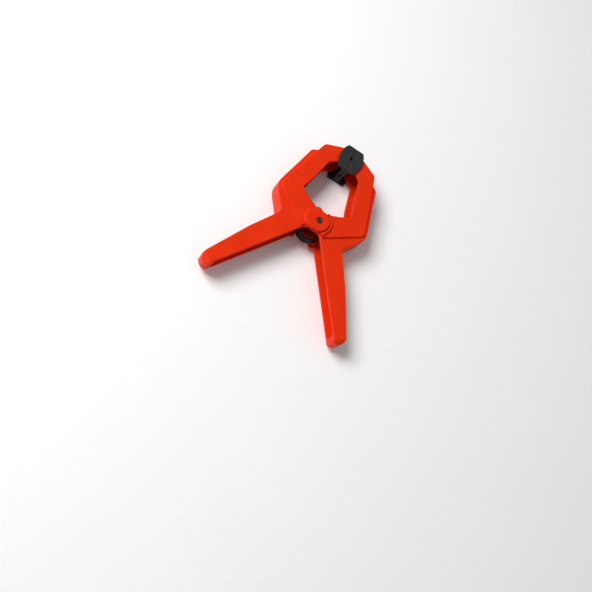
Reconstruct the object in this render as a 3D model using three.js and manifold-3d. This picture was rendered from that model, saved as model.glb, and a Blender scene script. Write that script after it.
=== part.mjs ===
// Mini spring clamp lying on its side. Millimetres, +Z is the pivot axis, +Y points to the jaw tips.
// The drawing plane halves the thickness; LIFT and FORWARD move the finished pieces into the part frame.
import * as THREE from 'three';
import { mergeVertices } from 'three/addons/utils/BufferGeometryUtils.js';
import Module from 'manifold-3d';

const wasm = await Module();
wasm.setup();

// Half thicknesses, from the middle plane outwards.
const SPRING_SPACE = 2.7;
const JAW_POCKET = 3.2;
const HANDLE_HALF = 3.7;
const JAW_HALF = 4.5;
const HUB_HALF = 5.55;
const LIP_HALF = 5.25;
const LIFT = HUB_HALF;
const FORWARD = 0.814;

// Hub: the left arm carries the outer discs, the right arm the inner ears and the lips.
const PIVOT = [0.45, 0.15];
const DISC_RADIUS = 4.0;
const BOSS_CENTRE = [-0.75, 0.3];
const BOSS_RADIUS = 4.3;
const DISC_INNER_FACE = 3.65;
const EAR_RADIUS = 3.9;
const EAR_OUTER_FACE = 3.55;
const LIP_INNER_RADIUS = 4.35;
const LIP_OUTER_RADIUS = 5.1;
const PIN_RADIUS = 1.15;
const PIN_HALF_LENGTH = 5.45;
const RUNNING_GAP = 0.05;

// Pads: a contact plate with two cheeks that snap over the jaw tip.
const PAD_PIVOT = [3.3, 29.3];
const PAD_BOTTOM = 24.0;
const PAD_TOP = 34.05;
const PAD_FACE = 0.05;
const PAD_BACK = 1.1;
const CHEEK_INNER_FACE = 4.6;
const PEG_RADIUS = 1.0;
const PEG_END = 3.75;
const PEG_HOLE_FLOOR = 3.7;
const GROOVE_HALF_WIDTH = 0.7;
const GROOVE_DEPTH = 0.55;

// Torsion spring.
const COIL_CENTRE = [-0.45, -2.3];
const COIL_MEAN_RADIUS = 4.35;
const WIRE_RADIUS = 0.55;
const COIL_HALF_LENGTH = 2.05;
const FULL_TURNS = 3;
const LEG_END = [15.83, -13.93];
const STEPS_PER_TURN = 24;

// Outlines of the right-hand arm, as corners [x, y, corner radius]. The left arm mirrors them.
const ARM = [
  [3.25, -4.15, 0],
  [25.15, -35.7, 0.4],
  [27.0, -35.6, 0.9],
  [28.7, -33.5, 0.9],
  [28.1, -31.5, 0],
  [19.6, -15.05, 0],
  [14.8, -7.15, 0],
  [13.0, -3.6, 1.6],
  [17.0, 2.0, 0],
  [19.0, 5.0, 2.2],
  [17.9, 9.7, 0],
  [15.8, 17.9, 0],
  [14.2, 24.6, 0.6],
  [12.2, 25.9, 0],
  [10.9, 28.6, 0.5],
  [4.4, 31.8, 0],
  [2.6, 29.3, 0],
  [4.3, 26.2, 0],
  [6.75, 23.7, 0],
  [10.4, 8.75, 0.4],
  [6.4, 6.1, 0],
  [3.3, 4.7, 0],
  [0.6, 3.7, 0],
  [0.6, -3.2, 0],
];
const JAW_PLATE = [
  [3.3, 5.0, 0],
  [0.9, 4.1, 0],
  [0.9, -3.4, 0],
  [3.3, -3.6, 0],
  [4.4, -4.45, 0.2],
  [14.8, 3.0, 0],
  [17.7, 5.0, 1.8],
  [14.9, 15.8, 0],
  [12.2, 25.2, 0],
  [10.9, 29.3, 0.9],
  [4.4, 32.35, 0.6],
  [2.6, 31.6, 0.6],
  [1.3, 29.6, 1.2],
  [2.1, 27.5, 0.8],
  [6.5, 23.7, 0.4],
  [8.45, 14.9, 0],
  [10.3, 8.75, 0.7],
  [6.4, 6.4, 0],
];
const SPRING_ROOM = [
  [-6.5, 30.7, 0],
  [-6.5, -7.5, 0],
  [22.0, -34.6, 0],
  [25.7, -32.4, 0.8],
  [13.5, -7.9, 0],
  [11.4, -4.0, 1.2],
  [15.3, 2.2, 0],
  [17.3, 5.4, 1.4],
  [16.4, 9.4, 0],
  [14.3, 17.5, 0],
  [12.2, 25.0, 0],
  [9.9, 27.9, 0.5],
  [4.6, 30.7, 0],
];
const POCKET = [
  [5.9, 9.0, 0],
  [5.9, -1.4, 0],
  [8.3, -0.4, 0],
  [14.6, 4.1, 0],
  [16.3, 5.7, 0.8],
  [13.6, 16.6, 0],
  [11.2, 24.8, 0],
  [9.5, 27.6, 0.5],
  [4.6, 30.2, 0],
  [-1.0, 30.2, 0],
  [-1.0, 22.0, 0],
];
const CHEEK = [
  [PAD_FACE, PAD_BOTTOM, 0],
  [3.3, 23.95, 0.12],
  [4.3, 26.7, 0.5],
  [4.75, 29.2, 0.6],
  [4.15, 32.2, 0.4],
  [3.15, 34.0, 0.2],
  [PAD_FACE, PAD_TOP, 0],
];

function toManifold(geometry) {
  const bare = geometry.index ? geometry.toNonIndexed() : geometry.clone();
  bare.deleteAttribute('normal');
  bare.deleteAttribute('uv');
  const merged = mergeVertices(bare, 1e-5);
  const solid = new wasm.Mesh({
    numProp: 3,
    vertProperties: Float32Array.from(merged.attributes.position.array),
    triVerts: Uint32Array.from(merged.index.array),
  });
  return new wasm.Manifold(solid);
}

function toGeometry(solid) {
  const mesh = solid.getMesh();
  const geometry = new THREE.BufferGeometry();
  geometry.setAttribute('position', new THREE.BufferAttribute(mesh.vertProperties, 3));
  geometry.setIndex(new THREE.BufferAttribute(mesh.triVerts, 1));
  return geometry;
}

// A closed outline whose corners are rounded by their own radius.
function outline(corners) {
  const shape = new THREE.Shape();
  corners.forEach(([x, y, radius], i) => {
    const before = corners[(i + corners.length - 1) % corners.length];
    const after = corners[(i + 1) % corners.length];
    const here = new THREE.Vector2(x, y);
    const start = new THREE.Vector2(before[0], before[1]).sub(here).setLength(radius).add(here);
    const end = new THREE.Vector2(after[0], after[1]).sub(here).setLength(radius).add(here);
    if (i === 0) {
      shape.moveTo(start.x, start.y);
    } else {
      shape.lineTo(start.x, start.y);
    }
    if (radius > 0) {
      shape.quadraticCurveTo(x, y, end.x, end.y);
    }
  });
  shape.closePath();
  return shape;
}

function slab(shape, low, high, curveSegments = 5) {
  const options = { depth: high - low, bevelEnabled: false, curveSegments };
  return toManifold(new THREE.ExtrudeGeometry(shape, options).translate(0, 0, low));
}

function disc(centre, radius, low, high) {
  const shape = new THREE.Shape();
  shape.absarc(centre[0], centre[1], radius, 0, 2 * Math.PI);
  return slab(shape, low, high, 24);
}

// The same piece of material on the front and on the back of the middle plane.
function frontAndBack(make, low, high) {
  return make(low, high).add(make(-high, -low));
}

// One arm: the channel-shaped handle and jaw, with its raised jaw plates and the pad holes.
function armBody(corners) {
  const handle = slab(outline(corners(ARM)), -HANDLE_HALF, HANDLE_HALF);
  const plates = slab(outline(corners(JAW_PLATE)), -JAW_HALF, JAW_HALF);
  const room = slab(outline(corners(SPRING_ROOM)), -SPRING_SPACE, SPRING_SPACE);
  const pocket = slab(outline(corners(POCKET)), -JAW_POCKET, JAW_POCKET);
  const [pad] = corners([[...PAD_PIVOT, 0]]);
  const padHoles = frontAndBack(
    (low, high) => disc(pad, PEG_RADIUS + RUNNING_GAP, low, high), PEG_HOLE_FLOOR, HUB_HALF);
  return handle.add(plates).subtract(room).subtract(pocket).subtract(padHoles);
}

// Small catches on the rear walls that keep the coil in place: a tongue on the right arm, a nub on the left.
const TONGUE = [
  [2.6, -3.0, 0],
  [1.85, -4.6, 0],
  [1.85, -5.95, 0.3],
  [2.35, -6.45, 0.3],
  [3.5, -6.95, 0.2],
  [4.2, -6.05, 0],
  [5.2, -6.3, 0],
  [4.2, -3.6, 0],
];
// The corner that each hub disc keeps above its stop notch.
const DISC_CORNER = [
  [-3.5, 2.9, 0],
  [-3.3, 3.75, 0],
  [-1.9, 4.9, 0.15],
  [-0.6, 4.7, 0],
  [-0.6, 2.9, 0],
];
const NUB = [
  [-4.0, -4.9, 0],
  [-3.85, -6.1, 0.2],
  [-4.05, -6.5, 0.2],
  [-5.6, -7.0, 0],
];

const asDrawn = (corners) => corners;
const mirrored = (corners) => corners.map(([x, y, radius]) => [-x, y, radius]).reverse();

function leftArm() {
  const earRoom = disc(PIVOT, EAR_RADIUS + 0.35, -DISC_INNER_FACE, DISC_INNER_FACE);
  const discs = frontAndBack((low, high) => {
    const boss = disc(BOSS_CENTRE, BOSS_RADIUS, low, high);
    const bossSide = slab(outline([[-6, -5, 0], [-0.45, -5, 0], [-0.45, 6, 0], [-6, 6, 0]]), low, high);
    return disc(PIVOT, DISC_RADIUS, low, high)
      .add(boss.intersect(bossSide))
      .add(slab(outline(DISC_CORNER), low, high));
  }, DISC_INNER_FACE, HUB_HALF);
  const stopNotch = outline([[-1.7, 5.0, 0], [0.9, 3.85, 0], [1.3, 5.2, 0], [-1.5, 6, 0]]);
  return armBody(mirrored)
    .subtract(earRoom)
    .add(discs)
    .add(slab(outline(NUB), -HANDLE_HALF, -SPRING_SPACE))
    .subtract(slab(stopNotch, -HUB_HALF - 1, HUB_HALF + 1))
    .subtract(disc(PIVOT, PIN_RADIUS + RUNNING_GAP, -HUB_HALF - 1, HUB_HALF + 1));
}

function rightArm() {
  const discRoom = frontAndBack(
    (low, high) => disc(PIVOT, LIP_INNER_RADIUS, low, high), EAR_OUTER_FACE, HUB_HALF + 1);
  const ears = frontAndBack(
    (low, high) => disc(PIVOT, EAR_RADIUS, low, high), SPRING_SPACE, EAR_OUTER_FACE);
  const lipSector = outline([
    [PIVOT[0], PIVOT[1], 0],
    [PIVOT[0] + 3.4, -4.6, 0],
    [7.0, -4.6, 0],
    [8.0, 8.0, 0],
    [3.2, 7.0, 0],
  ]);
  const lips = frontAndBack((low, high) => {
    const ring = disc(PIVOT, LIP_OUTER_RADIUS, low, high);
    const tail = slab(outline([[3.4, -2.6, 0], [3.55, -4.0, 0], [4.3, -4.3, 0.2], [5.1, -1.6, 0]]), low, high);
    return ring.intersect(slab(lipSector, low, high)).add(tail);
  }, EAR_OUTER_FACE, LIP_HALF);
  return armBody(asDrawn)
    .add(lips)
    .subtract(discRoom)
    .add(ears)
    .add(slab(outline(TONGUE), -EAR_OUTER_FACE, -SPRING_SPACE))
    .subtract(disc(PIVOT, PIN_RADIUS + RUNNING_GAP, -HUB_HALF - 1, HUB_HALF + 1));
}

function pad(corners) {
  const plateCorners = [
    [PAD_FACE, PAD_BOTTOM, 0],
    [PAD_BACK, PAD_BOTTOM, 0],
    [PAD_BACK, PAD_TOP, 0],
    [PAD_FACE, PAD_TOP, 0],
  ];
  const plate = slab(outline(corners(plateCorners)), -HUB_HALF, HUB_HALF);
  const cheeks = frontAndBack(
    (low, high) => slab(outline(corners(CHEEK)), low, high), CHEEK_INNER_FACE, HUB_HALF);
  const [centre] = corners([[...PAD_PIVOT, 0]]);
  const pegs = frontAndBack(
    (low, high) => disc(centre, PEG_RADIUS, low, high), PEG_END, CHEEK_INNER_FACE + 0.3);
  const acrossCorners = [
    [PAD_FACE - 0.5, PAD_PIVOT[1] - GROOVE_HALF_WIDTH * 1.9, 0],
    [PAD_FACE + GROOVE_DEPTH, PAD_PIVOT[1], 0],
    [PAD_FACE - 0.5, PAD_PIVOT[1] + GROOVE_HALF_WIDTH * 1.9, 0],
  ];
  const across = slab(outline(corners(acrossCorners)), -HUB_HALF - 1, HUB_HALF + 1);
  const alongCorners = corners([
    [PAD_FACE - 0.5, -GROOVE_HALF_WIDTH * 1.9, 0],
    [PAD_FACE + GROOVE_DEPTH, 0, 0],
    [PAD_FACE - 0.5, GROOVE_HALF_WIDTH * 1.9, 0],
  ]);
  const alongOptions = { depth: PAD_TOP - PAD_BOTTOM + 2, bevelEnabled: false };
  const along = new THREE.ExtrudeGeometry(outline(alongCorners), alongOptions);
  along.rotateX(-Math.PI / 2);
  along.translate(0, PAD_BOTTOM - 1, 0);
  return plate.add(cheeks).add(pegs).subtract(across).subtract(toManifold(along));
}

function pivotPin() {
  const chamfer = 0.2;
  const profile = [
    new THREE.Vector2(0, -PIN_HALF_LENGTH),
    new THREE.Vector2(PIN_RADIUS - chamfer, -PIN_HALF_LENGTH),
    new THREE.Vector2(PIN_RADIUS, -PIN_HALF_LENGTH + chamfer),
    new THREE.Vector2(PIN_RADIUS, PIN_HALF_LENGTH - chamfer),
    new THREE.Vector2(PIN_RADIUS - chamfer, PIN_HALF_LENGTH),
    new THREE.Vector2(0, PIN_HALF_LENGTH),
  ];
  const pin = new THREE.LatheGeometry(profile, 32);
  pin.rotateX(Math.PI / 2);
  pin.translate(PIVOT[0], PIVOT[1], 0);
  return toManifold(pin);
}

// The angle at which a straight leg ending at the given point leaves the coil.
function leaveAngle(end, side) {
  const dx = end[0] - COIL_CENTRE[0];
  const dy = end[1] - COIL_CENTRE[1];
  return Math.atan2(dy, dx) + side * Math.acos(COIL_MEAN_RADIUS / Math.hypot(dx, dy));
}

// The left leg, the coils from front to back, then the right leg, as one wire.
class SpringPath extends THREE.Curve {
  constructor() {
    super();
    const leftEnd = [-LEG_END[0], LEG_END[1]];
    const first = leaveAngle(leftEnd, -1) + 2 * Math.PI;
    const last = leaveAngle(LEG_END, 1) - FULL_TURNS * 2 * Math.PI;
    this.points = [new THREE.Vector3(...leftEnd, COIL_HALF_LENGTH)];
    const steps = Math.round(((first - last) / (2 * Math.PI)) * STEPS_PER_TURN);
    for (let i = 0; i <= steps; i += 1) {
      const share = i / steps;
      const angle = first + (last - first) * share;
      this.points.push(new THREE.Vector3(
        COIL_CENTRE[0] + COIL_MEAN_RADIUS * Math.cos(angle),
        COIL_CENTRE[1] + COIL_MEAN_RADIUS * Math.sin(angle),
        COIL_HALF_LENGTH * (1 - 2 * share),
      ));
    }
    this.points.push(new THREE.Vector3(...LEG_END, -COIL_HALF_LENGTH));
  }

  getPoint(t, target = new THREE.Vector3()) {
    const place = t * (this.points.length - 1);
    const index = Math.min(Math.floor(place), this.points.length - 2);
    return target.lerpVectors(this.points[index], this.points[index + 1], place - index);
  }

  getPointAt(t, target) {
    return this.getPoint(t, target);
  }

  getTangentAt(t, target = new THREE.Vector3()) {
    const step = 0.3 / (this.points.length - 1);
    const before = this.getPoint(Math.max(0, t - step));
    const after = this.getPoint(Math.min(1, t + step));
    return target.subVectors(after, before).normalize();
  }

  getTangent(t, target) {
    return this.getTangentAt(t, target);
  }
}

function torsionSpring() {
  const section = new THREE.Shape();
  section.absarc(0, 0, WIRE_RADIUS, 0, 2 * Math.PI);
  const path = new SpringPath();
  const options = { steps: path.points.length - 1, extrudePath: path, curveSegments: 4 };
  return toManifold(new THREE.ExtrudeGeometry(section, options));
}

const RED = '#d8301c';
const RED_PLASTIC = { color: RED, roughness: 0.42, metalness: 0 };
const BLACK_PLASTIC = { color: '#26272a', roughness: 0.6, metalness: 0 };
const OILED_STEEL = { color: '#1b1b1d', roughness: 0.35, metalness: 0.8 };
const PIN_STEEL = { color: '#55504c', roughness: 0.4, metalness: 0.9 };

const part = new THREE.Group();
part.name = 'mini_spring_clamp';

function addPiece(name, solid, finish) {
  const geometry = toGeometry(solid).translate(0, FORWARD, LIFT);
  geometry.computeVertexNormals();
  const mesh = new THREE.Mesh(geometry, new THREE.MeshStandardMaterial(finish));
  mesh.name = name;
  part.add(mesh);
}

addPiece('left_arm', leftArm(), RED_PLASTIC);
addPiece('right_arm', rightArm(), RED_PLASTIC);
addPiece('pivot_pin', pivotPin(), PIN_STEEL);
addPiece('torsion_spring', torsionSpring(), OILED_STEEL);
addPiece('left_pad', pad(mirrored), BLACK_PLASTIC);
addPiece('right_pad', pad(asDrawn), BLACK_PLASTIC);

export default part;
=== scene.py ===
"""Looks of the mini spring clamp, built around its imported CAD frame.

Shapes are given in millimetres in a drawing frame whose middle plane halves the clamp's thickness. Each moulded
piece is a distance field of rounded slabs, joined with fillets and meshed on a fine grid.
"""
import math

import bmesh
import bpy
import numpy as np
from mathutils import Matrix, Vector


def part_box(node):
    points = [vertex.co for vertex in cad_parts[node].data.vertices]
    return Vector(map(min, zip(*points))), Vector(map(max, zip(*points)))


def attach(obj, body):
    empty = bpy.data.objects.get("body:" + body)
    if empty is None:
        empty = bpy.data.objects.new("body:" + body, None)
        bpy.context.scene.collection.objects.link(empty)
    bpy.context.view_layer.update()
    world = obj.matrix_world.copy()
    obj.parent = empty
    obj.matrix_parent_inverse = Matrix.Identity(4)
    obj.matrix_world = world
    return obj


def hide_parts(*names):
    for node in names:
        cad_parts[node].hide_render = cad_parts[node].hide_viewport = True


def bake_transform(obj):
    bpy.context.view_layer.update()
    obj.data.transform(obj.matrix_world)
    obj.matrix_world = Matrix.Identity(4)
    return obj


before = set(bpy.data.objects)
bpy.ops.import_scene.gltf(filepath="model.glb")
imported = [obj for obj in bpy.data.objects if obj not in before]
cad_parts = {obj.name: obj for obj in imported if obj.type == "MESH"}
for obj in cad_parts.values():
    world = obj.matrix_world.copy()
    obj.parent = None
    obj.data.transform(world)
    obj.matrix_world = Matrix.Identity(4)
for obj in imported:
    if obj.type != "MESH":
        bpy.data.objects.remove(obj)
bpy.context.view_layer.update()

MM = 0.001
LIFT = 5.55
FORWARD = 0.814

# Half thicknesses.
SPRING_SPACE = 2.7
JAW_POCKET = 3.2
HANDLE_HALF = 3.7
JAW_HALF = 4.5
HUB_HALF = 5.55
LIP_HALF = 5.25

# Hub.
PIVOT = (0.45, 0.15)
DISC_RADIUS = 4.0
BOSS_CENTRE = (-0.75, 0.3)
BOSS_RADIUS = 4.3
BOSS_SIDE = -0.45
DISC_INNER_FACE = 3.65
EAR_RADIUS = 3.9
EAR_ROOM_RADIUS = 4.25
EAR_OUTER_FACE = 3.55
LIP_INNER_RADIUS = 4.35
LIP_OUTER_RADIUS = 5.1
PIN_HOLE_RADIUS = 1.2
PIN_RADIUS = 1.15
RUNNING_GAP = 0.05
PIN_HALF_LENGTH = 5.45
PIN_SIDES = 48

# Pads.
PAD_PIVOT = (3.3, 29.3)
PAD_BOTTOM = 24.0
PAD_TOP = 34.05
PAD_FACE = 0.05
PAD_BACK = 1.1
CHEEK_INNER_FACE = 4.6
PEG_RADIUS = 1.0
PEG_END = 3.75
PEG_HOLE_FLOOR = 3.7

# Torsion spring.
COIL_CENTRE = (-0.45, -2.3)
COIL_MEAN_RADIUS = 4.35
WIRE_RADIUS = 0.55
COIL_HALF_LENGTH = 2.05
FULL_TURNS = 3
LEG_END = (15.83, -13.93)
LEG_SHARES = (0, 0.02, 0.3, 0.6, 0.9)
WIRE_END_SHRINK = 0.8

# Edge roundings of the mouldings.
HANDLE_RIM = 0.38
PLATE_RIM = 0.22
LIP_RIM = 0.25
DISC_RIM = 0.35
CHEEK_RIM = 0.2
CHANNEL_CORNER = 0.3
WALL_EDGE = 0.16
FILLET = 0.15
SMALL_EDGE = 0.1
SHARP = 0.001

# The handle's end is bevelled front and back, from this far along the handle.
TIP_ALONG = (0.570, -0.821)
TIP_BEVEL_START = 43.0
TIP_BEVEL_SLOPE = math.radians(38)
TIP_BEVEL_EDGE = 0.3

# Crossed grooves in the pads' contact faces.
GROOVE_DEPTH = 0.55
GROOVE_FLARE = 0.62

# Outlines of the right-hand arm, as corners (x, y, corner radius). The left arm mirrors them.
ARM = [
    (3.25, -4.15, 0), (25.15, -35.7, 0.4), (27.0, -35.6, 0.9), (28.7, -33.5, 0.9), (28.1, -31.5, 0),
    (19.6, -15.05, 0), (14.8, -7.15, 0), (13.0, -3.6, 1.6), (17.0, 2.0, 0), (19.0, 5.0, 2.2),
    (17.9, 9.7, 0), (15.8, 17.9, 0), (14.2, 24.6, 0.6), (12.2, 25.9, 0), (10.9, 28.6, 0.5),
    (4.4, 31.8, 0), (2.6, 29.3, 0), (4.3, 26.2, 0), (6.75, 23.7, 0), (10.4, 8.75, 0.4),
    (6.4, 6.1, 0), (3.3, 4.7, 0), (0.6, 3.7, 0), (0.6, -3.2, 0),
]
JAW_PLATE = [
    (3.3, 5.0, 0), (0.9, 4.1, 0), (0.9, -3.4, 0), (3.3, -3.6, 0), (4.4, -4.45, 0.2),
    (14.8, 3.0, 0), (17.7, 5.0, 1.8), (14.9, 15.8, 0), (12.2, 25.2, 0), (10.9, 29.3, 0.9),
    (4.4, 32.35, 0.6), (2.6, 31.6, 0.6), (1.3, 29.6, 1.2), (2.1, 27.5, 0.8), (6.5, 23.7, 0.4),
    (8.45, 14.9, 0), (10.3, 8.75, 0.7), (6.4, 6.4, 0),
]
SPRING_ROOM = [
    (-6.5, 30.7, 0), (-6.5, -7.5, 0), (22.0, -34.6, 0), (25.7, -32.4, 0.8), (13.5, -7.9, 0),
    (11.4, -4.0, 1.2), (15.3, 2.2, 0), (17.3, 5.4, 1.4), (16.4, 9.4, 0), (14.3, 17.5, 0),
    (12.2, 25.0, 0), (9.9, 27.9, 0.5), (4.6, 30.7, 0),
]
POCKET = [
    (5.9, 9.0, 0), (5.9, -1.4, 0), (8.3, -0.4, 0), (14.6, 4.1, 0), (16.3, 5.7, 0.8), (13.6, 16.6, 0),
    (11.2, 24.8, 0), (9.5, 27.6, 0.5), (4.6, 30.2, 0), (-1.0, 30.2, 0), (-1.0, 22.0, 0),
]
LIP_SECTOR = [(0.45, 0.15, 0), (3.85, -4.6, 0), (7.0, -4.6, 0), (8.0, 8.0, 0), (3.2, 7.0, 0)]
LIP_TAIL = [(3.4, -2.6, 0), (3.55, -4.0, 0), (4.3, -4.3, 0.2), (5.1, -1.6, 0)]
TONGUE = [
    (2.6, -3.0, 0), (1.85, -4.6, 0), (1.85, -5.95, 0.3), (2.35, -6.45, 0.3), (3.5, -6.95, 0.2),
    (4.2, -6.05, 0), (5.2, -6.3, 0), (4.2, -3.6, 0),
]
NUB = [(-4.0, -4.9, 0), (-3.85, -6.1, 0.2), (-4.05, -6.5, 0.2), (-5.6, -7.0, 0)]
DISC_CORNER = [(-3.5, 2.9, 0), (-3.3, 3.75, 0), (-1.9, 4.9, 0.15), (-0.6, 4.7, 0), (-0.6, 2.9, 0)]
STOP_NOTCH = [(-1.7, 5.0, 0), (0.9, 3.85, 0), (1.3, 5.2, 0), (-1.5, 6, 0)]
CHEEK = [
    (PAD_FACE, PAD_BOTTOM, 0), (3.3, 23.95, 0.12), (4.3, 26.7, 0.5), (4.75, 29.2, 0.6),
    (4.15, 32.2, 0.4), (3.15, 34.0, 0.2), (PAD_FACE, PAD_TOP, 0),
]

# Grid steps of the meshes and of the outline tables.
ARM_CELL = 0.15
PAD_CELL = 0.08
MARGIN_CELLS = 3.4
OUTLINE_CELL = 0.08
PAD_OUTLINE_CELL = 0.05
SMALL_OUTLINE_CELL = 0.04

# A vertex settles onto the surface by at most this share of a cell. The square of the field's slope
# counts as at least LEAST_SLOPE, and slopes are sampled this many millimetres to either side.
SETTLE_SHARE = 0.6
LEAST_SLOPE = 0.2
SETTLE_REACH = 0.01
NORMAL_REACH = 0.02

# Neighbouring faces that differ by less than this are merged.
FLAT_ANGLE = math.radians(0.4)


def in_frame(points):
    """Drawing points in millimetres, as points of the CAD frame in metres."""
    return (np.array(points) + (0, FORWARD, LIFT)) * MM


# ---------------------------------------------------------------- distance fields

def outline(corners, arc_steps=20):
    """The points of a closed outline whose corners are rounded by their own radius."""
    points = []
    count = len(corners)
    for i, (x, y, radius) in enumerate(corners):
        here = np.array((x, y))
        if radius == 0:
            points.append(here)
            continue
        before = np.array(corners[i - 1][:2]) - here
        after = np.array(corners[(i + 1) % count][:2]) - here
        start = here + before * radius / np.linalg.norm(before)
        end = here + after * radius / np.linalg.norm(after)
        for t in np.linspace(0, 1, arc_steps + 1):
            points.append((1 - t) ** 2 * start + 2 * t * (1 - t) * here + t * t * end)
    return np.array(points)


class Profile:
    """Signed distance to a closed outline, negative inside, read off a fine table."""

    def __init__(self, corners, low, high, cell):
        points = outline(corners)
        self.low = np.array(low, float)
        self.cell = cell
        self.size = np.ceil((np.array(high) - self.low) / cell).astype(int) + 1
        x = self.low[0] + cell * np.arange(self.size[0])[:, None]
        y = self.low[1] + cell * np.arange(self.size[1])[None, :]
        nearest = np.full(self.size, 1e9)
        inside = np.zeros(self.size, bool)
        for (ax, ay), (bx, by) in zip(points, np.roll(points, -1, axis=0)):
            ex, ey = bx - ax, by - ay
            share = np.clip(((x - ax) * ex + (y - ay) * ey) / (ex * ex + ey * ey), 0, 1)
            nearest = np.minimum(nearest, (x - ax - share * ex) ** 2 + (y - ay - share * ey) ** 2)
            if ay != by:
                inside ^= ((ay > y) != (by > y)) & (x < ax + (y - ay) / (by - ay) * ex)
        self.table = np.where(inside, -1, 1) * np.sqrt(nearest)

    def __call__(self, x, y):
        x, y = np.broadcast_arrays(x, y)
        u = np.clip((x - self.low[0]) / self.cell, 0, self.size[0] - 1.001)
        v = np.clip((y - self.low[1]) / self.cell, 0, self.size[1] - 1.001)
        i, j = u.astype(int), v.astype(int)
        u, v = u - i, v - j
        t = self.table
        near = t[i, j] * (1 - u) + t[i + 1, j] * u
        far = t[i, j + 1] * (1 - u) + t[i + 1, j + 1] * u
        return near * (1 - v) + far * v


def circle(x, y, centre, radius):
    return np.hypot(x - centre[0], y - centre[1]) - radius


def join(a, b, fillet):
    """Both shapes as one, with a fillet where they meet."""
    return np.maximum(fillet, np.minimum(a, b)) - np.hypot(
        np.maximum(fillet - a, 0), np.maximum(fillet - b, 0))


def common(a, b, rounding):
    """Where both shapes are, with the new edges rounded."""
    return -join(-a, -b, rounding)


def cut(a, b, rounding):
    """a without b, with the new edges rounded."""
    return -join(-a, b, rounding)


def slab(flat, z, low, high, rounding):
    """A flat outline given thickness from low to high on both sides of the middle plane."""
    side = np.abs(z) - high
    if low > 0:
        side = np.maximum(side, low - np.abs(z))
    return common(flat, side, rounding)


# ---------------------------------------------------------------- meshing

CORNERS = np.array([(0, 0, 0), (1, 0, 0), (0, 1, 0), (1, 1, 0), (0, 0, 1), (1, 0, 1), (0, 1, 1), (1, 1, 1)])
EDGES = np.array([
    (0, 1), (2, 3), (4, 5), (6, 7), (0, 2), (1, 3), (4, 6), (5, 7), (0, 4), (1, 5), (2, 6), (3, 7)])


def surface_net(field, low, cell, shape):
    """Vertices and quads of the zero surface of field on a grid: one vertex in each cell it passes through."""
    axes = [low[i] + cell * np.arange(shape[i]) for i in range(3)]
    value = np.broadcast_to(
        field(axes[0][:, None, None], axes[1][None, :, None], axes[2][None, None, :]), shape).astype(np.float32)
    inside = value < 0
    total = np.zeros([n - 1 for n in shape], np.uint8)
    for dx, dy, dz in CORNERS:
        total += inside[dx:shape[0] - 1 + dx, dy:shape[1] - 1 + dy, dz:shape[2] - 1 + dz]
    cells = np.argwhere((total > 0) & (total < 8))
    index = np.full(total.shape, -1, np.int32)
    index[tuple(cells.T)] = np.arange(len(cells))
    corner = np.stack([value[tuple((cells + c).T)] for c in CORNERS], 1).astype(float)
    place = np.zeros((len(cells), 3))
    crossings = np.zeros(len(cells))
    for a, b in EDGES:
        va, vb = corner[:, a], corner[:, b]
        crosses = (va < 0) != (vb < 0)
        t = np.where(crosses, va / np.where(crosses, va - vb, 1), 0)
        place += crosses[:, None] * (CORNERS[a] + t[:, None] * (CORNERS[b] - CORNERS[a]))
        crossings += crosses
    vertices = np.array(low) + cell * (cells + place / crossings[:, None])
    quads = []
    for axis in range(3):
        u, v = [(1, 2), (2, 0), (0, 1)][axis]
        here = [slice(None)] * 3
        there = [slice(None)] * 3
        here[axis], there[axis] = slice(0, -1), slice(1, None)
        first, second = inside[tuple(here)], inside[tuple(there)]
        for starts_inside in (True, False):
            edge = np.argwhere((first != second) & (first == starts_inside))
            around = []
            for du, dv in ((0, 0), (-1, 0), (-1, -1), (0, -1)):
                cell_at = edge.copy()
                cell_at[:, u] += du
                cell_at[:, v] += dv
                around.append(index[tuple(cell_at.T)])
            quad = np.stack(around, 1)
            quads.append(quad if starts_inside else quad[:, ::-1])
    return vertices, np.concatenate(quads)


def gradient(field, points, reach):
    x, y, z = points.T
    return np.stack([
        field(x + reach, y, z) - field(x - reach, y, z),
        field(x, y + reach, z) - field(x, y - reach, z),
        field(x, y, z + reach) - field(x, y, z - reach),
    ], 1) / (2 * reach)


def settle(field, points, cell, rounds=3):
    """Moves points onto the zero surface along the field's slope."""
    start = points.copy()
    for _ in range(rounds):
        slope = gradient(field, points, SETTLE_REACH)
        step = field(*points.T)[:, None] * slope / np.maximum((slope ** 2).sum(1), LEAST_SLOPE)[:, None]
        points = start + np.clip(points - step - start, -SETTLE_SHARE * cell, SETTLE_SHARE * cell)
    return points


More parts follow.
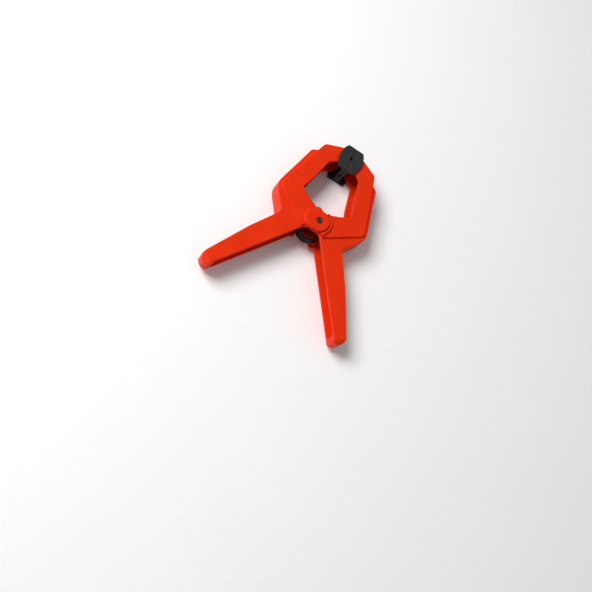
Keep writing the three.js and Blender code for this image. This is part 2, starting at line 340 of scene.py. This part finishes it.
def moulded(name, node, field, cell):
    """A piece from its distance field, inside its CAD node's box, with the field's own normals.

    Flat areas become single faces.
    """
    cad_low, cad_high = (np.array(corner) / MM - (0, FORWARD, LIFT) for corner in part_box(node))
    low = cad_low - MARGIN_CELLS * cell
    shape = np.ceil((cad_high - low) / cell).astype(int) + math.ceil(MARGIN_CELLS)
    vertices, quads = surface_net(field, low, cell, shape)
    vertices = np.clip(settle(field, vertices, cell), cad_low, cad_high)
    mesh = bpy.data.meshes.new(name)
    mesh.from_pydata(vertices.tolist(), [], quads.tolist())
    work = bmesh.new()
    work.from_mesh(mesh)
    bmesh.ops.dissolve_limit(
        work, angle_limit=FLAT_ANGLE, use_dissolve_boundaries=False,
        verts=work.verts[:], edges=work.edges[:])
    bmesh.ops.recalc_face_normals(work, faces=work.faces[:])
    for face in work.faces:
        face.smooth = True
    work.to_mesh(mesh)
    work.free()
    flat = np.zeros(len(mesh.vertices) * 3)
    mesh.vertices.foreach_get("co", flat)
    points = flat.reshape(-1, 3)
    normals = gradient(field, points, NORMAL_REACH)
    normals /= np.maximum(np.linalg.norm(normals, axis=1), 1e-6)[:, None]
    mesh.vertices.foreach_set("co", in_frame(points).ravel())
    mesh.update()
    mesh.normals_split_custom_set_from_vertices(normals.tolist())
    thing = bpy.data.objects.new(name, mesh)
    bpy.context.scene.collection.objects.link(thing)
    return thing


# ---------------------------------------------------------------- arms

ARM_LOW, ARM_HIGH = (-7.0, -36.5), (29.5, 33.5)
arm_flat = Profile(ARM, ARM_LOW, ARM_HIGH, OUTLINE_CELL)
plate_flat = Profile(JAW_PLATE, ARM_LOW, ARM_HIGH, OUTLINE_CELL)
room_flat = Profile(SPRING_ROOM, ARM_LOW, ARM_HIGH, OUTLINE_CELL)
pocket_flat = Profile(POCKET, ARM_LOW, ARM_HIGH, OUTLINE_CELL)
HUB_LOW, HUB_HIGH = (-8.0, -8.0), (10.0, 10.0)
sector_flat = Profile(LIP_SECTOR, HUB_LOW, HUB_HIGH, SMALL_OUTLINE_CELL)
tail_flat = Profile(LIP_TAIL, HUB_LOW, HUB_HIGH, SMALL_OUTLINE_CELL)
notch_flat = Profile(STOP_NOTCH, HUB_LOW, HUB_HIGH, SMALL_OUTLINE_CELL)
corner_flat = Profile(DISC_CORNER, HUB_LOW, HUB_HIGH, SMALL_OUTLINE_CELL)
tongue_flat = Profile(TONGUE, HUB_LOW, HUB_HIGH, SMALL_OUTLINE_CELL)
nub_flat = Profile(NUB, HUB_LOW, HUB_HIGH, SMALL_OUTLINE_CELL)


def arm_body(x, y, z):
    """The right-hand channel-shaped handle and jaw with its raised jaw plates and pad holes."""
    flat = arm_flat(x, y)
    handle = slab(flat, z, 0, HANDLE_HALF, HANDLE_RIM)
    along = x * TIP_ALONG[0] + y * TIP_ALONG[1] - TIP_BEVEL_START
    bevel = along * math.sin(TIP_BEVEL_SLOPE) + (np.abs(z) - HANDLE_HALF) * math.cos(TIP_BEVEL_SLOPE)
    handle = common(handle, bevel, TIP_BEVEL_EDGE)
    plates = slab(plate_flat(x, y), z, 0, JAW_HALF, PLATE_RIM)
    # The fillet beside the plates fades out where the two outlines run together.
    body = join(handle, plates, np.clip(-flat - FILLET, SHARP, FILLET))
    room = slab(room_flat(x, y), z, 0, SPRING_SPACE, CHANNEL_CORNER)
    pocket = slab(pocket_flat(x, y), z, 0, JAW_POCKET, CHANNEL_CORNER)
    body = cut(body, np.minimum(room, pocket), WALL_EDGE)
    hole = circle(x, y, PAD_PIVOT, PEG_RADIUS + RUNNING_GAP)
    return cut(body, slab(hole, z, PEG_HOLE_FLOOR, HUB_HALF, SMALL_EDGE), SMALL_EDGE)


def right_arm(x, y, z):
    """The arm with the inner ears, the curved lips round the discs and the rear tongue."""
    across = circle(x, y, PIVOT, 0)
    ring = np.maximum(across - LIP_OUTER_RADIUS, sector_flat(x, y))
    lip = slab(np.minimum(ring, tail_flat(x, y)), z, SPRING_SPACE, LIP_HALF, LIP_RIM)
    body = join(arm_body(x, y, z), lip, FILLET)
    disc_room = slab(across - LIP_INNER_RADIUS, z, EAR_OUTER_FACE, 2 * HUB_HALF, SMALL_EDGE)
    body = cut(body, disc_room, FILLET)
    ear = slab(across - EAR_RADIUS, z, SPRING_SPACE, EAR_OUTER_FACE, SMALL_EDGE)
    body = join(body, ear, SHARP)
    tongue = common(tongue_flat(x, y), np.maximum(z + SPRING_SPACE, -z - EAR_OUTER_FACE), WALL_EDGE)
    body = join(body, tongue, SHARP)
    return cut(body, across - PIN_HOLE_RADIUS, SMALL_EDGE)


def left_arm(x, y, z):
    """The arm with the outer hub discs and the rear nub."""
    across = circle(x, y, PIVOT, 0)
    body = arm_body(-x, y, z)
    ear_room = slab(across - EAR_ROOM_RADIUS, z, 0, DISC_INNER_FACE, SMALL_EDGE)
    body = cut(body, ear_room, FILLET)
    boss = np.maximum(circle(x, y, BOSS_CENTRE, BOSS_RADIUS), x - BOSS_SIDE)
    disc = np.minimum(np.minimum(across - DISC_RADIUS, boss), corner_flat(x, y))
    disc = common(slab(disc, z, 0, HUB_HALF, DISC_RIM), DISC_INNER_FACE - np.abs(z), SMALL_EDGE)
    body = join(body, disc, FILLET)
    nub = common(nub_flat(x, y), np.maximum(z + SPRING_SPACE, -z - HANDLE_HALF), WALL_EDGE)
    body = join(body, nub, SHARP)
    body = cut(body, notch_flat(x, y), SMALL_EDGE)
    return cut(body, across - PIN_HOLE_RADIUS, SMALL_EDGE)


def pad(x, y, z):
    """The right-hand pad: a contact plate with two cheeks, pegs and crossed grooves."""
    body = slab(cheek_flat(x, y), z, 0, HUB_HALF, CHEEK_RIM)
    jaw_room = slab(PAD_BACK - x, z, 0, CHEEK_INNER_FACE, CHEEK_RIM)
    body = cut(body, jaw_room, FILLET)
    peg = slab(circle(x, y, PAD_PIVOT, PEG_RADIUS), z, PEG_END, HUB_HALF - CHEEK_RIM, CHEEK_RIM)
    body = join(body, peg, SMALL_EDGE)
    floor_depth = x - PAD_FACE - GROOVE_DEPTH
    across = floor_depth + np.abs(y - PAD_PIVOT[1]) * GROOVE_FLARE
    along = floor_depth + np.abs(z) * GROOVE_FLARE
    return cut(body, np.minimum(across, along) / math.hypot(1, GROOVE_FLARE), SMALL_EDGE)


PAD_LOW, PAD_HIGH = (-1, 23), (6, 35)
cheek_flat = Profile(CHEEK, PAD_LOW, PAD_HIGH, PAD_OUTLINE_CELL)
pieces = {
    "left_arm": moulded("left_arm_shell", "left_arm", left_arm, ARM_CELL),
    "right_arm": moulded("right_arm_shell", "right_arm", right_arm, ARM_CELL),
    "right_pad": moulded("right_pad_jaw", "right_pad", pad, PAD_CELL),
    "left_pad": moulded("left_pad_jaw", "left_pad", lambda x, y, z: pad(-x, y, z), PAD_CELL),
}


# ---------------------------------------------------------------- pin and spring

def swept(name, rings):
    """A tube through rings of points, with flat ends."""
    count = len(rings[0])
    vertices = in_frame([tuple(point) for ring in rings for point in ring])
    faces = []
    for i in range(len(rings) - 1):
        for k in range(count):
            a, b = i * count + k, i * count + (k + 1) % count
            faces.append((a, b, b + count, a + count))
    faces.append(tuple(reversed(range(count))))
    faces.append(tuple(range((len(rings) - 1) * count, len(rings) * count)))
    mesh = bpy.data.meshes.new(name)
    mesh.from_pydata(vertices.tolist(), [], faces)
    work = bmesh.new()
    work.from_mesh(mesh)
    bmesh.ops.recalc_face_normals(work, faces=work.faces[:])
    for face in work.faces:
        face.smooth = True
    work.to_mesh(mesh)
    work.free()
    thing = bpy.data.objects.new(name, mesh)
    bpy.context.scene.collection.objects.link(thing)
    return thing


def turned_pin():
    """The pin: a straight shank whose ends are rounded and slightly dished."""
    # Radius and height over the end's rim.
    end = [(0.3, -0.115), (0.55, -0.08), (0.66, -0.03), (0.74, 0.0), (0.88, 0.0),
           (0.99, -0.03), (1.07, -0.09), (1.13, -0.18), (PIN_RADIUS, -0.3)]
    half = [(radius, PIN_HALF_LENGTH + z) for radius, z in end]
    line = half + [(radius, -z) for radius, z in reversed(half)]
    angles = np.linspace(0, 2 * math.pi, PIN_SIDES, endpoint=False)
    return swept("pivot_pin_turned", [
        [(PIVOT[0] + radius * math.cos(a), PIVOT[1] + radius * math.sin(a), z) for a in angles]
        for radius, z in line])


def leave_angle(end, side):
    dx, dy = end[0] - COIL_CENTRE[0], end[1] - COIL_CENTRE[1]
    return math.atan2(dy, dx) + side * math.acos(COIL_MEAN_RADIUS / math.hypot(dx, dy))


def wound_spring(steps_per_turn=56, sides=20):
    left_end = (-LEG_END[0], LEG_END[1])
    first = leave_angle(left_end, -1) + 2 * math.pi
    last = leave_angle(LEG_END, 1) - FULL_TURNS * 2 * math.pi
    steps = round((first - last) / (2 * math.pi) * steps_per_turn)
    path = []
    for i in range(steps + 1):
        share = i / steps
        angle = first + (last - first) * share
        path.append(Vector((
            COIL_CENTRE[0] + COIL_MEAN_RADIUS * math.cos(angle),
            COIL_CENTRE[1] + COIL_MEAN_RADIUS * math.sin(angle),
            COIL_HALF_LENGTH * (1 - 2 * share))))
    legs = []
    for end, start, z in ((left_end, path[0], COIL_HALF_LENGTH), (LEG_END, path[-1], -COIL_HALF_LENGTH)):
        tip = Vector((*end, z))
        legs.append([tip.lerp(start, share) for share in LEG_SHARES])
    path = legs[0] + path + legs[1][::-1]
    rings = []
    for i, place in enumerate(path):
        ahead = path[min(i + 1, len(path) - 1)] - path[max(i - 1, 0)]
        ahead.normalize()
        side = ahead.cross(Vector((0, 0, 1))).normalized()
        over = side.cross(ahead)
        radius = WIRE_RADIUS * (WIRE_END_SHRINK if i in (0, len(path) - 1) else 1)
        rings.append([
            place + (side * math.cos(a) + over * math.sin(a)) * radius
            for a in np.linspace(0, 2 * math.pi, sides, endpoint=False)])
    return swept("torsion_spring_wire", rings)


pieces["pivot_pin"] = turned_pin()
pieces["torsion_spring"] = wound_spring()


# ---------------------------------------------------------------- materials

class Nodes:
    """Short calls to add and link shader nodes."""

    def __init__(self, name):
        self.material = bpy.data.materials.new(name)
        self.material.use_nodes = True
        self.tree = self.material.node_tree
        self.shader = self.tree.nodes["Principled BSDF"]
        self.place = self.add("TexCoord").outputs["Object"]

    def add(self, kind, **inputs):
        node = self.tree.nodes.new("ShaderNode" + kind)
        for name, value in inputs.items():
            self.put(node, name.replace("_", " "), value)
        return node

    def put(self, node, name, value):
        if isinstance(value, bpy.types.NodeSocket):
            self.tree.links.new(value, node.inputs[name])
        else:
            node.inputs[name].default_value = value

    def noise(self, scale, detail=2.0, roughness=0.5):
        node = self.add("TexNoise", Scale=scale, Detail=detail, Roughness=roughness, Vector=self.place)
        return node.outputs["Fac"]

    def ramp(self, value, low, high, to_low, to_high):
        node = self.add("MapRange", Value=value)
        for name, number in (("From Min", low), ("From Max", high), ("To Min", to_low), ("To Max", to_high)):
            node.inputs[name].default_value = number
        return node.outputs["Result"]

    def mix(self, share, first, second):
        node = self.tree.nodes.new("ShaderNodeMix")
        node.data_type = "RGBA"
        # The sockets of the colour mix: its factor, its two colours and its result.
        self.put(node, 0, share)
        self.put(node, 6, first)
        self.put(node, 7, second)
        return node.outputs[2]

    def bump(self, height, strength, distance, onto=None):
        node = self.add("Bump", Height=height, Strength=strength, Distance=distance)
        if onto is not None:
            self.put(node, "Normal", onto)
        return node.outputs["Normal"]


def red_plastic():
    """Satin red plastic with slight clouding and fine grain."""
    n = Nodes("red_moulded_plastic")
    clouds = n.noise(120.0, 3.0)
    speckle = n.noise(2600.0, 2.0)
    base = n.mix(n.ramp(clouds, 0.35, 0.65, 0, 1), (0.71, 0.026, 0.0016, 1), (0.77, 0.032, 0.0022, 1))
    base = n.mix(n.ramp(speckle, 0.4, 0.62, 0.0, 0.25), base, (0.62, 0.014, 0.0018, 1))
    n.put(n.shader, "Base Color", base)
    n.put(n.shader, "Roughness", n.ramp(n.noise(900.0, 3.0), 0.3, 0.7, 0.36, 0.50))
    n.shader.inputs["Specular IOR Level"].default_value = 0.12
    fine = n.bump(speckle, 0.10, 0.00005)
    n.put(n.shader, "Normal", n.bump(n.noise(500.0, 2.0), 0.12, 0.00012, fine))
    return n.material


def black_plastic():
    """Fine-grained dark plastic of the pads."""
    n = Nodes("black_moulded_plastic")
    grain = n.noise(3200.0, 3.0, 0.6)
    clouds = n.ramp(n.noise(260.0, 3.0), 0.35, 0.65, 0, 1)
    base = n.mix(clouds, (0.012, 0.012, 0.0125, 1), (0.018, 0.018, 0.018, 1))
    n.put(n.shader, "Base Color", base)
    n.shader.inputs["Specular IOR Level"].default_value = 0.4
    n.put(n.shader, "Roughness", n.ramp(grain, 0.3, 0.7, 0.48, 0.64))
    n.put(n.shader, "Normal", n.bump(grain, 0.3, 0.00005))
    return n.material


def oiled_wire():
    """Black spring wire with a thin film of oil."""
    n = Nodes("black_oiled_wire")
    streak = n.noise(1500.0, 4.0, 0.6)
    base = n.mix(n.ramp(n.noise(400.0), 0.4, 0.6, 0, 1), (0.002, 0.002, 0.002, 1), (0.005, 0.005, 0.0045, 1))
    n.put(n.shader, "Base Color", base)
    n.shader.inputs["Specular IOR Level"].default_value = 0.2
    n.put(n.shader, "Roughness", n.ramp(streak, 0.3, 0.7, 0.16, 0.28))
    n.put(n.shader, "Normal", n.bump(streak, 0.08, 0.00004))
    return n.material


def dull_steel():
    """Dark, stained pin steel."""
    n = Nodes("dull_pin_steel")
    stain = n.noise(900.0, 4.0, 0.6)
    base = n.mix(n.ramp(stain, 0.35, 0.65, 0, 1), (0.03, 0.025, 0.018, 1), (0.08, 0.06, 0.045, 1))
    n.put(n.shader, "Base Color", base)
    n.shader.inputs["Metallic"].default_value = 0.75
    n.put(n.shader, "Roughness", n.ramp(stain, 0.3, 0.7, 0.42, 0.58))
    n.put(n.shader, "Normal", n.bump(n.noise(2500.0, 3.0), 0.25, 0.00004))
    return n.material


def pale_floor():
    """Almost white, with faint clouds."""
    n = Nodes("pale_floor")
    n.put(n.shader, "Base Color", n.mix(n.noise(30.0), (0.93, 0.93, 0.93, 1), (0.95, 0.95, 0.95, 1)))
    n.shader.inputs["Roughness"].default_value = 0.9
    return n.material


finishes = {
    "red_plastic": red_plastic(),
    "black_plastic": black_plastic(),
    "pin_steel": dull_steel(),
    "spring_steel": oiled_wire(),
}
slots = {
    "left_arm": "red_plastic",
    "right_arm": "red_plastic",
    "left_pad": "black_plastic",
    "right_pad": "black_plastic",
    "pivot_pin": "pin_steel",
    "torsion_spring": "spring_steel",
}
for node, slot in slots.items():
    pieces[node].data.materials.append(finishes[slot])
    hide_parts(node)

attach(pieces["left_arm"], "left_body")
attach(pieces["pivot_pin"], "left_body")
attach(pieces["right_arm"], "right_body")
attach(pieces["left_pad"], "left_pad_body")
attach(pieces["right_pad"], "right_pad_body")
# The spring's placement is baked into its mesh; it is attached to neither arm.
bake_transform(pieces["torsion_spring"])


# ---------------------------------------------------------------- stage, light and camera

FLOOR_HALF = 1.5
floor_corners = [(FLOOR_HALF * x, FLOOR_HALF * y, 0) for x, y in ((-1, -1), (1, -1), (1, 1), (-1, 1))]
floor_mesh = bpy.data.meshes.new("floor")
floor_mesh.from_pydata(floor_corners, [], [(0, 1, 2, 3)])
floor = bpy.data.objects.new("floor", floor_mesh)
bpy.context.scene.collection.objects.link(floor)
floor_mesh.materials.append(pale_floor())

world = bpy.data.worlds.new("studio")
bpy.context.scene.world = world
world.use_nodes = True
sky = world.node_tree.nodes["Background"]
sky.inputs["Color"].default_value = (1, 1, 1, 1)
sky.inputs["Strength"].default_value = 0.33

# The photo's viewing angle, and where the camera stands from the hub's middle, in millimetres.
CAMERA_LEFT = 6.0
CAMERA_BELOW = 25.14
CAMERA_DISTANCE = 285.71
camera_right = Vector((0.83707, 0.42574, 0.34359)).normalized()
camera_back = camera_right.cross(Vector((-0.52438, 0.80343, 0.28200))).normalized()
camera_up = camera_back.cross(camera_right)


def area_light(name, direction, distance, size, power):
    """A square soft light that faces the origin from a direction."""
    data = bpy.data.lights.new(name, "AREA")
    data.size = size
    data.energy = power
    lamp = bpy.data.objects.new(name, data)
    lamp.location = direction.normalized() * distance
    lamp.rotation_mode = "QUATERNION"
    lamp.rotation_quaternion = direction.to_track_quat("Z", "Y")
    bpy.context.scene.collection.objects.link(lamp)


area_light(
    "key", camera_back + camera_up * 0.75 - camera_right * 0.35, distance=0.6, size=0.3, power=3.5)
area_light(
    "fill", camera_back * 0.35 - camera_right * 0.9 - camera_up * 0.45, distance=0.7, size=0.4, power=1.6)

camera = bpy.data.cameras.new("camera")
camera.sensor_width = 36
camera.lens = 48.65
camera.clip_start = 0.01
viewer = bpy.data.objects.new("camera", camera)
placed = Matrix((camera_right, camera_up, camera_back)).transposed().to_4x4()
hub_middle = Vector((0, FORWARD, LIFT))
offset = camera_back * CAMERA_DISTANCE - camera_right * CAMERA_LEFT - camera_up * CAMERA_BELOW
placed.translation = (hub_middle + offset) * MM
viewer.matrix_world = placed
bpy.context.scene.collection.objects.link(viewer)
bpy.context.scene.camera = viewer
bpy.context.scene.view_settings.view_transform = "Standard"
